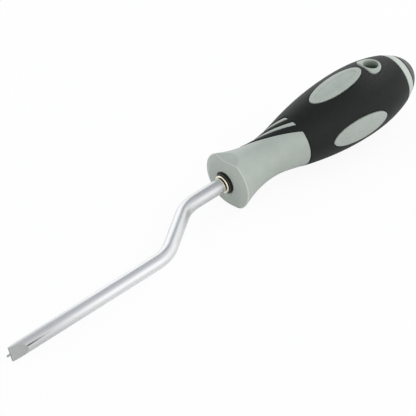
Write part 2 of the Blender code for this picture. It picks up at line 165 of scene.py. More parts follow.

# Places in the finishes, with soft steps as where they start and end
# Painted highlight along the nose's lip: its width, and its fade towards the flats
LIP_HIGHLIGHT_STEP = (0.06 * MM, 0.3 * MM)
LIP_HIGHLIGHT_FADE = (0.0, 0.15 * MM)
# Where the band's streaks and its painted light start
BAND_STEP = (BAND[0] - 0.2 * MM, BAND[0] + 0.2 * MM)
# Painted shade inside the hanging hole: where its wall starts, and the heights over which the shade fades
WALL_STEP = (0.02 * MM, 0.3 * MM)
HOLE_SHADE_HEIGHT = (9.5 * MM, 14.0 * MM)
PARTING_STEP = (0.03 * MM, 0.09 * MM)
DUST_ALONG = (60 * MM, 90 * MM)
DUST_ABOVE = (9 * MM, 15 * MM)
GATE_X = 86.2 * MM
GATE_STEP = (0.4 * MM, 0.7 * MM)
GATE_SIDE = (-2 * MM, 0.0)
# Painted shade on the cap's front rim, next to the gap to the band
CAP_GAP_SHADE = (CAP_FRONT + 0.3 * MM, CAP_FRONT + 0.9 * MM)
# Painted highlight on the thrust washer's edge
HIGHLIGHT_RADIUS = 4.1 * MM
HIGHLIGHT_STEP = (0.06 * MM, 0.2 * MM)
SCRATCH_WAY = (-0.819, 0.574)
SCRATCH_LENGTH = 15.0 * MM
SCRATCH_LEAD = 0.5 * MM
SCRATCH_STEP = (0.1 * MM, 0.36 * MM)
SCRATCH_SIDE = (0.0, 2 * MM)
TIP_STEP = (-118 * MM, -75 * MM)
# Painted dimmer reflection on the bar near the handle
HANDLE_REFLECTION_STEP = (-26 * MM, -16 * MM)
# Painted reflection of the snap ring on the bar in front of its groove
RING_REFLECTION_STEP = (GROOVE[0] - 0.5 * MM, GROOVE[0] - 0.4 * MM)

# Floor, lamp and surroundings
FLOOR_TONES = (0.85, 0.88)
FLOOR_GLOSS = 0.11
LAMP_PLACE = (0.75, -0.15, 0.65)
LAMP_SIZE = 0.6
OVERHEAD = Vector((0.05, 0.1, 0.99)).normalized()
OVERHEAD_STEP = (0.48, 0.98)
CORNER = Vector((0.57, 0.5, 0.65)).normalized()
CORNER_STEP = (0.955, 0.992)
CORNER_SHARE = 0.9
DARK_LIMIT = 1.4
DARK_TINT = (0.95, 1.0, 1.06, 1.0)
SIDE_STEP = (0.5, 0.9)

# Camera in the handle's frame: its axes, and the nose's place along them
CAMERA_RIGHT = Vector((0.74049223, -0.66983956, -0.0558603))
CAMERA_DOWN = Vector((-0.46239964, -0.4471955, -0.76567265))
CAMERA_AHEAD = Vector((0.48789736, 0.59280492, -0.64087791))
NOSE_SEEN = Vector((6.78306562, -10.10969956, 1302.65816984)) * MM
SENSOR_WIDTH = 36.0
CLIP_END = 20.0


def smooth_min(first, second, softness):
    """The smaller of two distances, with a rounded change over."""
    share = np.clip(0.5 + 0.5 * (second - first) / softness, 0.0, 1.0)
    return second + (first - second) * share - softness * share * (1.0 - share)


def rounded_drop(distance, radius):
    """How far a quarter-round edge lies below its face, by the distance inside it."""
    rest = np.clip(radius - distance, 0.0, radius)
    return radius - np.sqrt(radius * radius - rest * rest)


def hermite(x, first, second):
    """Radius between two outline stations."""
    x0, r0, m0 = first
    x1, r1, m1 = second
    span = x1 - x0
    t = (x - x0) / span
    start = (1 + 2 * t) * (1 - t) ** 2 * r0 + t * (1 - t) ** 2 * span * m0
    end = t * t * (3 - 2 * t) * r1 + t * t * (t - 1) * span * m1
    return start + end


def dome_radius(x):
    """Elliptical butt that carries on the band's slope and closes at the end."""
    band_x, radius, slope = BAND
    length = HANDLE_END - band_x
    pull = -slope * radius
    lead = pull * length ** 2 / (radius ** 2 - 2 * pull * length)
    height = math.sqrt(radius ** 2 + pull * lead)
    share = (lead + x - band_x) / (lead + length)
    return height * np.sqrt(np.clip(1 - share * share, 0.0, 1.0))


def core_radius(x, sizes):
    """Radius of the round core's outside."""
    lip = (sizes.border_depth, sizes.nose_radius, NOSE_SLOPE)
    marks = [NECK, GRIP_FRONT, BELLY, EYE_REAR]
    radius = np.where(x < NECK[0], hermite(x, lip, NECK), dome_radius(x))
    for first, second in zip(marks, marks[1:]):
        inside = (x >= first[0]) & (x < second[0])
        radius = np.where(inside, hermite(x, first, second), radius)
    rise = (np.maximum(x, 0.0) / sizes.border_depth) ** BORDER_BULGE
    border = sizes.nose_radius - sizes.border_width * (1.0 - rise)
    return np.where(x < 2 * sizes.border_depth, smooth_min(radius, border, sizes.nose_softness), radius)


def grip_radius(x, sizes):
    """Radius of the rubber's outside, below the pads and the eye."""
    proud = sizes.rubber_proud
    front = (GRIP_FRONT[0], GRIP_FRONT[1] + proud, GRIP_FRONT[2])
    belly = (BELLY[0], sizes.grip_radius, 0.0)
    rear = (BAND[0], BAND[1] + proud, BAND[2])
    radius = np.where(x < belly[0], hermite(x, front, belly), hermite(x, belly, rear))
    return np.where(x < front[0], core_radius(x, sizes) + proud, radius)


def flat_field(x, angle, sizes):
    """How far outside the round nose its flats lie, negative where they cut it."""
    flat = sizes.flat_height / np.maximum(np.abs(np.sin(angle)), LEAST_SINE)
    outside = np.clip(flat - core_radius(x, sizes), -FIELD_LIMIT, FIELD_LIMIT)
    return np.where((x >= 0.0) & (x < NECK[0]), outside, FIELD_LIMIT)


def oval_inside(along, across, half_length, half_width):
    """Distance inside an oval, about true near its edge."""
    reach = np.sqrt((along / half_length) ** 2 + (across / half_width) ** 2)
    pull = np.sqrt((along / half_length ** 2) ** 2 + (across / half_width ** 2) ** 2)
    return (1 - reach) * np.maximum(reach, LEAST_REACH) / np.maximum(pull, LEAST_PULL)


def panel_field(x, angle, sizes):
    """Plan distance inside the plain sunk oval on the upper pad."""
    y = core_radius(x, sizes) * np.cos(angle) - PAD_ASIDE
    inside = oval_inside(x - PAD_MIDDLE, y, PANEL_LENGTH / 2, PANEL_WIDTH / 2)
    return np.where(np.sin(angle) > FACING_SINE, np.clip(inside, -MM, MM), -MM)


def eye_inside(x, y, sizes):
    """Distance inside the eye: square shoulders in front, half an oval behind."""
    half = sizes.hole_diameter / 2 + EYE_SIDE_RIM
    shoulder = HOLE_X - sizes.hole_diameter / 2 - EYE_FRONT_RIM + EYE_CORNER
    rear = HOLE_X + sizes.hole_diameter / 2 + EYE_REAR_RIM
    behind = oval_inside(x - shoulder, y, rear - shoulder, half)
    past = np.maximum(np.abs(y) - (half - EYE_CORNER), 0.0)
    ahead = EYE_CORNER - np.hypot(past, shoulder - x)
    return np.where(x > shoulder, behind, ahead)


def bare_inside(x, y, z, sizes):
    """Plan distance inside the bare patches, negative under the rubber."""
    slant = math.tan(TONGUE_SLANT)
    level = math.cos(TONGUE_SLANT)
    ahead = GRIP_FRONT[0] - x
    line = slant * ahead
    field = np.minimum(TONGUE_END - x, (TONGUE_START + line - y) * level)
    for start in SLIT_STARTS:
        low = (y - start - line) * level
        slit = np.minimum(np.minimum(low, SLIT_WIDTH - low), ahead)
        field = np.maximum(field, slit)
    half = (PAD_REAR - PAD_FRONT) / 2
    upright = np.abs(z) > np.abs(y)
    across = np.where(upright, y - PAD_ASIDE, z + PAD_ASIDE)
    field = np.maximum(field, oval_inside(x - PAD_MIDDLE, across, half, PAD_WIDTH / 2))
    eye = np.where(upright, eye_inside(x, y, sizes), FAR_OUTSIDE)
    field = np.maximum(field, eye)
    return np.maximum(field, x - BAND_EDGE)


def bare_field(x, angle, sizes):
    """Distance over the surface inside the bare patches, negative under the rubber."""

    def sample(dx, turn):
        reach = core_radius(x + dx, sizes)
        return bare_inside(x + dx, reach * np.cos(angle + turn), reach * np.sin(angle + turn), sizes)

    turn = FIELD_STEP / np.maximum(core_radius(x, sizes), MM)
    along = (sample(FIELD_STEP, 0.0) - sample(-FIELD_STEP, 0.0)) / (2 * FIELD_STEP)
    around = (sample(0.0, turn) - sample(0.0, -turn)) / (2 * FIELD_STEP)
    slope = np.clip(np.sqrt(along ** 2 + around ** 2), *SLOPE_LIMITS)
    field = np.where(x < 0.0, FIELD_LIMIT, sample(0.0, 0.0) / slope)
    return np.clip(field, -FIELD_LIMIT, FIELD_LIMIT)


def hole_field(x, angle, sizes):
    """Plan distance outside the hanging hole, far off on the handle's two sides."""
    y = core_radius(x, sizes) * np.cos(angle)
    outside = np.hypot(x - HOLE_X, y) - sizes.hole_diameter / 2
    facing = np.abs(np.sin(angle)) > FACING_SINE
    return np.where(facing, np.clip(outside, -MM, FIELD_LIMIT), FIELD_LIMIT)


def plan_of(points):
    """Plan coordinates (distance, angle) of points on an unrolled sheet."""
    plan = np.array([point[:2] for point in points])
    return plan[:, 0], plan[:, 1]


def vertex_plan(work):
    """Plan coordinates of every vertex."""
    return plan_of(vertex.co for vertex in work.verts)


def face_plan(work):
    """Plan coordinates of every face's middle."""
    return plan_of(face.calc_center_median() for face in work.faces)


def delete_faces(work, doomed):
    """Delete the faces that a list of truth values marks."""
    marked = [face for face, is_doomed in zip(work.faces, doomed) if is_doomed]
    bmesh.ops.delete(work, geom=marked, context="FACES")


def cut_along(work, levels, field, *details):
    """Cut an unrolled sheet along level lines of a field."""
    for level in levels:
        values = field(*vertex_plan(work), *details)
        for vertex, value in zip(work.verts, values):
            vertex.co.z = value
        bmesh.ops.bisect_plane(
            work,
            geom=work.verts[:] + work.edges[:] + work.faces[:],
            plane_co=(0.0, 0.0, level),
            plane_no=(0.0, 0.0, 1.0),
            dist=CUT_TOLERANCE,
        )


def unrolled_sheet(rows, columns):
    """A flat sheet in plan coordinates, with the given rows."""
    work = bmesh.new()
    angles = np.linspace(0.0, 2 * math.pi, columns + 1)
    grid = [[work.verts.new((row, angle, 0.0)) for angle in angles] for row in rows]
    for lower, upper in zip(grid, grid[1:]):
        for i in range(columns):
            work.faces.new((lower[i], lower[i + 1], upper[i + 1], upper[i]))
    return work


def weld(work, distance=WELD):
    """Join vertices that lie together."""
    bmesh.ops.remove_doubles(work, verts=work.verts, dist=distance)


def split_big_faces(work):
    """Split faces of more than four sides into triangles."""
    big = [face for face in work.faces if len(face.verts) > 4]
    bmesh.ops.triangulate(work, faces=big)


def lathe(work, outline, columns, closed=False):
    """Turn (distance, radius) points about the X axis into rings of vertices."""
    angles = np.linspace(0.0, 2 * math.pi, columns, endpoint=False)
    rings = []
    for x, radius in outline:
        if radius == 0.0:
            rings.append([work.verts.new((x, 0.0, 0.0))] * columns)
        else:
            rings.append([work.verts.new((x, radius * math.cos(a), radius * math.sin(a))) for a in angles])
    pairs = list(zip(rings, rings[1:]))
    if closed:
        pairs.append((rings[-1], rings[0]))
    for first, second in pairs:
        for i in range(columns):
            j = (i + 1) % columns
            corners = list(dict.fromkeys((first[i], first[j], second[j], second[i])))
            work.faces.new(corners)
    return rings


def rounded_ring(front, back, inner, outer, edge, steps=5):
    """Closed outline of a ring with quarter-round outer and inner edges."""
    corners = [
        ((front + edge, outer - edge), 2 * QUARTER, QUARTER),
        ((back - edge, outer - edge), QUARTER, 0.0),
        ((back - edge, inner + edge), 0.0, -QUARTER),
        ((front + edge, inner + edge), -QUARTER, -2 * QUARTER),
    ]
    outline = []
    for (x, radius), start, end in corners:
        for i in range(steps + 1):
            angle = start + (end - start) * i / steps
            outline.append((x + edge * math.cos(angle), radius + edge * math.sin(angle)))
    return outline


def add_object(name, data):
    """Add an object to the scene."""
    made = bpy.data.objects.new(name, data)
    bpy.context.scene.collection.objects.link(made)
    return made


def add_mesh(name, work):
    """Add a mesh in work to the scene as an object."""
    mesh = bpy.data.meshes.new(name)
    work.to_mesh(mesh)
    work.free()
    return add_object(name, mesh)


def finish_piece(name, work, place, body, materials, replaces, sharp=MOULDED_SHARP):
    """Turn a mesh in work into a placed piece that stands for a CAD node."""
    bmesh.ops.recalc_face_normals(work, faces=work.faces)
    piece = add_mesh(name, work)
    piece.data.transform(place)
    piece.data.shade_smooth()
    piece.data.set_sharp_from_angle(angle=sharp)
    for material in materials:
        piece.data.materials.append(material)
    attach(piece, body)
    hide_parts(replaces)


class Signal:
    """A shader socket that takes part in Python arithmetic."""

    def __init__(self, finish, socket):
        self.finish = finish
        self.socket = socket

    def math(self, operation, *others):
        """This signal and others through a Math node."""
        inputs = dict(enumerate((self, *others)))
        return self.finish.node("ShaderNodeMath", {"operation": operation}, inputs)

    def __add__(self, other):
        return self.math("ADD", other)

    def __mul__(self, other):
        return self.math("MULTIPLY", other)

    def __sub__(self, other):
        return self.math("SUBTRACT", other)

    def __rsub__(self, other):
        return self.finish.node("ShaderNodeMath", {"operation": "SUBTRACT"}, {0: other, 1: self})

    def __truediv__(self, other):
        return self.math("DIVIDE", other)

    def __abs__(self):
        return self.math("ABSOLUTE")

    __radd__ = __add__
    __rmul__ = __mul__

    def between(self, low, high):
        """A soft step from 0 at low to 1 at high."""
        settings = {"interpolation_type": "SMOOTHSTEP", "clamp": True}
        inputs = {"Value": self, "From Min": low, "From Max": high}
        return self.finish.node("ShaderNodeMapRange", settings, inputs)

    def larger(self, other):
        return self.math("MAXIMUM", other)

    def hypot(self, other):
        """How far away a point is, from its distances along two axes."""
        return (self * self + other * other).math("SQRT")


class Finish:
    """A node tree that is written as expressions."""

    def __init__(self, name, tree=None):
        if tree is None:
            self.material = bpy.data.materials.new(name)
            self.material.use_nodes = True
            tree = self.material.node_tree
        self.tree = tree
        self.shader = tree.nodes.get("Principled BSDF")

    def link(self, socket, value):
        """Feed a socket from a signal, or set it to a constant."""
        if isinstance(value, Signal):
            self.tree.links.new(value.socket, socket)
        else:
            socket.default_value = value

    def node(self, kind, settings=None, inputs=None, output=0):
        """Add a node, set it up, feed its sockets and return one of its outputs."""
        made = self.tree.nodes.new(kind)
        for key, value in (settings or {}).items():
            setattr(made, key, value)
        for key, value in (inputs or {}).items():
            self.link(made.inputs[key], value)
        return Signal(self, made.outputs[output])

    def mix(self, share, first, second):
        """Blend two colours."""
        settings = {"data_type": "RGBA", "clamp_factor": True}
        return self.node("ShaderNodeMix", settings, {0: share, 6: first, 7: second}, 2)

    def vector(self, operation, *values, output=0):
        inputs = dict(enumerate(values))
        return self.node("ShaderNodeVectorMath", {"operation": operation}, inputs, output)

    def place(self):
        """Position on the piece in the CAD frame."""
        return self.node("ShaderNodeTexCoord", output="Object")

    def dot(self, place, way):
        """How far a place lies along a direction."""
        return self.vector("DOT_PRODUCT", place, tuple(way), output=1)

    def axes(self):
        """Distances along the handle, across it and above its axis."""
        away = self.vector("SUBTRACT", self.place(), tuple(NOSE))
        return [self.dot(away, way) for way in (AXIS, SIDE, RISE)]

    def noise(self, scale, detail=2.0, roughness=0.5, vector=None):
        """Cloudy noise from 0 to 1, with its scale in features per metre."""
        inputs = {"Scale": scale, "Detail": detail, "Roughness": roughness}
        return self.node("ShaderNodeTexNoise", {}, {"Vector": vector or self.place(), **inputs})

    def streaks(self, along, across, detail=3.0, roughness=0.5):
        """Noise with one scale along the handle and another across it."""
        parts = [axis * scale for axis, scale in zip(self.axes(), (along, across, across))]
        place = self.node("ShaderNodeCombineXYZ", {}, dict(enumerate(parts)))
        return self.noise(1.0, detail, roughness, place)

    def mottled(self, base, noise, dark, light, low=0.3, high=0.7):
        """A colour that goes from darker to lighter with a noise."""
        return self.mix(noise.between(low, high), shade(base, dark), shade(base, light))

    def bump(self, height, distance, strength=1.0):
        inputs = {"Height": height, "Distance": distance, "Strength": strength}
        return self.node("ShaderNodeBump", {}, inputs)

    def surface(self, **sockets):
        """Feed the shader's own sockets, named with underscores."""
        for name, value in sockets.items():
            title = name.replace("_", " ").title().replace("Ior", "IOR")
            self.link(self.shader.inputs[title], value)
        return self.material


def shade(colour, factor=1.0):
    """A colour made lighter or darker, with full alpha."""
    return (*[min(1.0, part * factor) for part in colour[:3]], 1.0)


def lip_highlight_mask(finish, sizes):
    """Mask of the painted highlight along the round lip and the flats' front edges."""
    along, across, above = finish.axes()
    rise = (along / sizes.border_depth).larger(0.0).math("POWER", BORDER_BULGE)
    border = sizes.nose_radius - sizes.border_width + rise * sizes.border_width
    below_flat = sizes.flat_height - abs(above)
    lip = 1.0 - abs(along - sizes.border_depth).between(*LIP_HIGHLIGHT_STEP)
    front = 1.0 - abs(border - across.hypot(above)).larger(abs(below_flat)).between(*LIP_HIGHLIGHT_STEP)
    return (lip * below_flat.between(*LIP_HIGHLIGHT_FADE)).larger(front)


def grey_plastic(colours, sizes):
    """Satin moulded core: grain, parting line, a painted highlight on the lip, painted shade in the hole,
    and a streaked band that is also painted lighter where light from the butt side falls.
    """
    finish = Finish("grey_plastic")
    base = colours.core
    along, across, above = finish.axes()
    clouds = finish.noise(220.0, 3.0)
    grain = finish.noise(5200.0, 2.0)
    streaks = finish.streaks(4200.0, 160.0)
    band = along.between(*BAND_STEP)
    colour = finish.mottled(base, clouds, 0.97, 1.03)
    colour = finish.mix(grain.between(0.45, 0.8) * 0.25, colour, shade(base, 1.1))
    # Band with its own streaks, also painted lighter where light from the butt side falls on it
    colour = finish.mix(band * (0.35 + streaks.between(0.3, 0.7) * 0.65), colour, shade(base, 1.36))
    # Painted shade on the hanging hole's wall, darker deeper down
    hole = sizes.hole_diameter / 2
    wall = 1.0 - (along - HOLE_X).hypot(across).between(hole + WALL_STEP[0], hole + WALL_STEP[1])
    depth = 1.0 - abs(above).between(*HOLE_SHADE_HEIGHT)
    colour = finish.mix(wall * (0.2 + depth * 0.75), colour, shade(colours.hole_shade))
    # Painted highlight along the nose's lip and the flats' front edges
    colour = finish.mix(lip_highlight_mask(finish, sizes) * 0.8, colour, shade(colours.lip))
    parting = 1.0 - abs(above).between(*PARTING_STEP)
    height = grain * 0.6 + streaks * band * 0.5 + parting * 0.8
    return finish.surface(
        base_color=colour,
        roughness=0.28 + clouds * 0.08 + grain * 0.06,
        normal=finish.bump(height, 0.03 * MM, 0.35),
    )


def black_rubber(colours):
    """Soft matt grip: pebbled skin, a moulding pit with painted shade in it, and dust towards the eye and
    the butt.
    """
    finish = Finish("black_rubber")
    base = colours.rubber
    along, across, above = finish.axes()
    pebble = finish.noise(4200.0, 2.0, 0.6)
    clouds = finish.noise(420.0, 4.0, 0.6)
    specks = finish.noise(1500.0, 3.0, 0.7)
    rear = along.between(*DUST_ALONG)
    top = above.between(*DUST_ABOVE)
    dust = (0.03 + rear * 0.97) * (0.06 + top * 0.94) * (0.35 + specks.between(0.36, 0.7) * 0.65)
    colour = finish.mottled(base, clouds, 0.85, 1.15)
    colour = finish.mix(dust, colour, shade(colours.dust))
    gate = 1.0 - (along - GATE_X).hypot(above).between(*GATE_STEP)
    gate = gate * (1.0 - across.between(*GATE_SIDE))
    # Painted shade in the moulding pit
    colour = finish.mix(gate, colour, shade(base, 0.3))
    return finish.surface(
        base_color=colour,
        roughness=0.44 + pebble * 0.1 + dust * 0.15,
        specular_ior_level=0.22,
        normal=finish.bump(pebble + clouds * 0.5 - gate * 3.0, 0.04 * MM, 0.5),
    )


def cap_plastic(colours):
    """Hard butt cap with fine turned streaks and painted shade along its front rim, at the gap to the band.
    """
    finish = Finish("cap_plastic")
    base = colours.cap
    streaks = finish.streaks(3800.0, 120.0, 4.0, 0.6)
    clouds = finish.noise(500.0, 3.0)
    colour = finish.mottled(base, streaks, 0.75, 1.5, high=0.75)
    # Painted shade along the cap's front rim, at the gap to the band
    rim = 1.0 - finish.axes()[0].between(*CAP_GAP_SHADE)
    colour = finish.mix(rim, colour, shade(base, 0.3))
    return finish.surface(
        base_color=colour,
        roughness=0.4 + clouds * 0.14,
        specular_ior_level=0.85,
        normal=finish.bump(streaks + clouds * 0.4, 0.03 * MM, 0.35),
    )


def black_nylon(colours):
    """Smooth bearing plastic with faint turning marks and a painted highlight on the washer's edge."""
    finish = Finish("black_nylon")
    marks = finish.streaks(6000.0, 300.0)
    colour = finish.mottled(colours.nylon, marks, 0.8, 1.3)
    across, above = finish.axes()[1:]
    # Painted highlight along the thrust washer's rounded edge
    edge = 1.0 - abs(across.hypot(above) - HIGHLIGHT_RADIUS).between(*HIGHLIGHT_STEP)
    colour = finish.mix(edge, colour, shade(colours.washer_highlight))
    return finish.surface(
        base_color=colour,
        roughness=0.24 + marks * 0.1,
        specular_ior_level=0.22,
        normal=finish.bump(marks, 0.02 * MM, 0.3),
    )


def blade_scratch(finish, sizes):
    """Masks of the dark line above the ground face, and of the side it lies on."""
    along, across, above = finish.axes()
    centre = Matrix.Rotation(sizes.turn, 3, "X") @ Vector((0.0, 0.0, -sizes.offset))
    y = across - centre.y
    z = above - centre.z
    aside = abs(y * SCRATCH_WAY[1] - z * SCRATCH_WAY[0])
    facing = y * SCRATCH_WAY[0] + z * SCRATCH_WAY[1]
    start = sizes.blade_length - sizes.to_blade
    fade = along.between(start - SCRATCH_LEAD, start) * (1.0 - along.between(start, start + SCRATCH_LENGTH))
    line = 1.0 - (aside / (0.4 + fade)).between(*SCRATCH_STEP)
    side = facing.between(*SCRATCH_SIDE)
    return line * side * fade, side


def plated_steel(colours, sizes):
    """Satin chrome on drawn bar: a painted dim reflection near the handle, a painted reflection of the snap
    ring, and a rougher tip darker on the scratch's side, with a dark scratch.
    """
    finish = Finish("plated_steel")
    base = colours.plate
    lines = finish.streaks(90.0, 2600.0)
    clouds = finish.noise(160.0, 3.0)
    specks = finish.noise(2600.0, 2.0)
    along = finish.axes()[0]
    tip = 1.0 - along.between(*TIP_STEP)
    ring_reflection = along.between(*RING_REFLECTION_STEP)
    scratch, side = blade_scratch(finish, sizes)
    colour = finish.mottled(base, lines, 0.97, 1.02, 0.35, 0.65)
    colour = finish.mix(specks.between(0.68, 0.75) * 0.25, colour, shade(base, 0.6))
    # Painted dimmer reflection on the bar near the handle, which it mirrors
    colour = finish.mix(along.between(*HANDLE_REFLECTION_STEP), colour, shade(base, 0.87))
    # Darker on the scratch's side towards the tip
    colour = finish.mix(side * tip * 0.8, colour, shade(base, 0.74))
    colour = finish.mix(scratch, colour, shade(base, 0.2))
    # Painted reflection of the snap ring on the bar in front of its groove
    colour = finish.mix(ring_reflection * 0.8, colour, shade(colours.ring))
    return finish.surface(
        base_color=colour,
        metallic=1.0,
        roughness=0.28 + clouds * 0.05 + lines * 0.03 + tip * 0.26 + ring_reflection * 0.2,
        normal=finish.bump(lines, 0.01 * MM, 0.15),
    )


def ground_steel(colours):
    """Bare ground faces of the blade, with fine marks across them."""
    finish = Finish("ground_steel")
    marks = finish.streaks(7000.0, 500.0, 4.0, 0.6)
    clouds = finish.noise(700.0, 2.0)
    return finish.surface(
        base_color=finish.mottled(colours.blade, marks, 0.9, 1.08),
        metallic=1.0,
        roughness=0.32 + clouds * 0.12,
        normal=finish.bump(marks, 0.015 * MM, 0.3),
    )


def ring_steel(name, base, roughness):
    """Turned steel of the snap ring, the spacer and the rear washer and clip, and the painted shade in the
    ring's groove.
    """
    finish = Finish(name)
    marks = finish.streaks(5000.0, 350.0)
    return finish.surface(
        base_color=finish.mottled(base, marks, 0.95, 1.04),
        metallic=1.0,
        roughness=roughness + marks * 0.12,
        normal=finish.bump(marks, 0.015 * MM, 0.25),
    )


def mm_property(name, description, default):
    """A length that a user may change, given in millimetres."""
    return FloatProperty(name=name, description=description, default=default * MM, unit="LENGTH")


def angle_property(name, description, default):
    """An angle that a user may change, given in degrees."""
    return FloatProperty(name=name, description=description, default=math.radians(default), unit="ROTATION")


def level_property(name, description, default, **more):
    """A level from zero up that a user may change."""
    return FloatProperty(name=name, description=description, default=default, min=0.0, **more)


def colour_property(name, description, default):
    """A colour that a user may change."""
    limits = {"subtype": "COLOR", "min": 0.0, "max": 1.0}
    return FloatVectorProperty(name=name, description=description, default=default, **limits)


class HandleSizes(bpy.types.PropertyGroup):
    """Sizes of the two-shot handle."""

    nose_radius: mm_property("Nose Radius", "Largest radius of the nose", 12.4)
    border_depth: mm_property("Border Depth", "How far the lip lies behind the nose face", 1.4)
    border_width: mm_property("Border Width", "Width of the border round the nose face", 3.1)
    flat_height: mm_property("Nose Flat", "Height of the nose flats above the axis", 10.7)
    nose_softness: mm_property("Nose Softness", "Rounding of the lip and of the flats' edges", 0.25)
    hole_diameter: mm_property("Hanging Hole", "Diameter of the hanging hole", 6.4)
    hole_round: mm_property("Hole Rounding", "Rounding of the hole's rims", 0.5)
    rubber_proud: mm_property("Rubber Height", "Height of the rubber's ends above the core", 0.15)
    grip_radius: mm_property("Grip Radius", "Largest radius of the rubber", 14.95)
    pad_round: mm_property("Pad Rounding", "Rounding of the pads' and the eye's edges", 0.35)
    panel_depth: mm_property("Panel Depth", "Depth of the sunk oval on the upper pad", 0.3)
    rubber_round: mm_property("Rubber Rounding", "Rounding of the rubber's edges", 0.4)
    rubber_depth: mm_property("Rubber Depth", "Depth of the rubber's pocket in the core", 1.3)
    seam: mm_property("Seam", "Width of the groove between rubber and core", 0.16)
    cell: mm_property("Cell", "Distance between the mesh's rows", 0.5)
    columns: IntProperty(name="Columns", description="Mesh columns round the handle", default=200, min=40)


class CrankSizes(bpy.types.PropertyGroup):
    """Sizes of the bent bar and its blade."""

    bar_radius: mm_property("Bar Radius", "Radius of the round bar", 3.0)
    bar_inner: mm_property("Inner End", "Where the bar ends inside the handle", 60.95)
    to_bend: mm_property("Nose to Bend", "Distance from the nose to the first bend", 21.1)
    to_blade: mm_property("Nose to Blade", "Distance from the nose to the blade's end", 125.4)
    offset: mm_property("Offset", "How far the crank stands off the axis", 18.3)
    run: mm_property("Run", "Length along the axis between the two bends", 25.7)
    bend_radius: mm_property("Bend Radius", "Radius of the bends' centre line", 17.5)
    turn: angle_property("Turn", "Turn of the crank from straight down as the tool lies", -94.93)
    blade_turn: angle_property("Blade Turn", "Turn of the blade from the plane of the bends", 75.0)
    blade_thickness: mm_property("Blade Thickness", "Thickness at the blade's end", 0.8)
    blade_length: mm_property("Blade Length", "Length of the ground faces", 6.6)
    grind_radius: mm_property("Grind Radius", "Radius of the hollow grind", 16.0)
    pin_radius: mm_property("Pin Radius", "Radius of the pilot pin", 0.45)
    pin_length: mm_property("Pin Length", "How far the pilot pin stands out", 1.7)
    sides: IntProperty(name="Sides", description="Mesh columns round the bar", default=72, min=16)


class FinishColours(bpy.types.PropertyGroup):
    """Colours of the finishes."""

    core: colour_property("Core", "Grey plastic of the core", (0.366, 0.402, 0.365))
    # Colour of the painted shade inside the hanging hole
    hole_shade: colour_property("Shading", "Shade inside the hanging hole", (0.078, 0.092, 0.068))
    # Colour of the painted highlight along the nose's lip
    lip: colour_property("Lip", "Highlighted edges round the nose", (0.62, 0.63, 0.54))
    rubber: colour_property("Rubber", "Black soft grip", (0.0072, 0.0085, 0.0080))
    dust: colour_property("Dust", "Pale dust on the rubber", (0.062, 0.064, 0.058))
    cap: colour_property("Cap", "Butt cap", (0.034, 0.033, 0.035))
    nylon: colour_property("Bushes", "Bearing plastic", (0.008, 0.009, 0.008))
    # Colour of the painted highlight on the thrust washer's edge
    washer_highlight: colour_property("Highlighted Edge", "Brightened edge of the thrust washer", (0.055, 0.062, 0.052))
    plate: colour_property("Plating", "Chrome plate of the bar", (0.78, 0.785, 0.79))
    blade: colour_property("Blade", "Ground faces of the blade", (0.42, 0.43, 0.42))
    ring: colour_property("Snap Ring", "Bright ring on the bar", (0.93, 0.88, 0.74))
    # Colour of the painted shade in the snap ring's groove
    groove_shade: colour_property("Shaded Groove", "Dark groove of the snap ring", (0.06, 0.045, 0.03))
    steel: colour_property("Plain Steel", "Spacer, rear washer and rear clip", (0.5, 0.5, 0.5))


class StageSettings(bpy.types.PropertyGroup):
    """Light, floor and camera."""

    sky_level: level_property("Sky", "Strength of the pale surroundings", 1.16)
    dark_level: level_property("Dark Overhead", "Strength of the dark patch overhead", 0.57)
    side_level: level_property("Sides", "Added strength in front of the tool and behind it", 0.16)
    lamp_power: level_property("Lamp", "Power of the soft lamp", 2.4, unit="POWER")
    floor_size: mm_property("Floor", "Half width of the floor", 1500.0)
    shadow_share: level_property("Shadow", "Shown share of the shadow", 0.08, subtype="FACTOR", max=1.0)
    lens: FloatProperty(name="Lens", description="Focal length in millimetres", default=284.33, min=10.0)


class MakeHandleCore(bpy.types.Operator):
    """Make the grey core with its nose, pads, eye and band, pocketed for the rubber"""

    bl_idname = "screwdriver.handle_core"
    bl_label = "Handle Core"

    def execute(self, context):
        sizes = context.scene.screwdriver_handle
        work = cut_handle_sheet(sizes)
        distance, angle = vertex_plan(work)
        field = bare_field(distance, angle, sizes)
        hole = hole_field(distance, angle, sizes)
        in_hole = hole_field(*face_plan(work), sizes) < 0.0
        outside = np.maximum(distance, 0.0)
        radius = core_radius(outside, sizes)
        radius = smooth_min(radius, radius + flat_field(outside, angle, sizes), sizes.nose_softness)
        radius = radius - rounded_drop(field, sizes.pad_round) - rounded_drop(hole, sizes.hole_round)
        panel = np.clip(0.5 + panel_field(distance, angle, sizes) / (2 * PANEL_EDGE), 0.0, 1.0)
        radius = radius - sizes.panel_depth * panel
        pocket = grip_radius(distance, sizes) - sizes.rubber_depth
        radius = np.where(field < POCKET_START, pocket, radius)
        radius = radius - rounded_drop(BAND_REAR - distance, EDGE_ROUND)
        share = 1.0 + distance / SEAT_RADIUS
        radius = np.where(distance < 0.0, SEAT_RADIUS + (radius - SEAT_RADIUS) * share, radius)
        place_on_handle(work, outside, angle, radius)
        delete_faces(work, in_hole)
        weld(work)
        line_hole(work, sizes)
        line_bores(work, sizes)
        split_big_faces(work)
        finish = grey_plastic(context.scene.screwdriver_colours, sizes)
        finish_piece("core_moulding", work, HANDLE_FRAME, "handle", [finish], "handle_core")
        return {"FINISHED"}


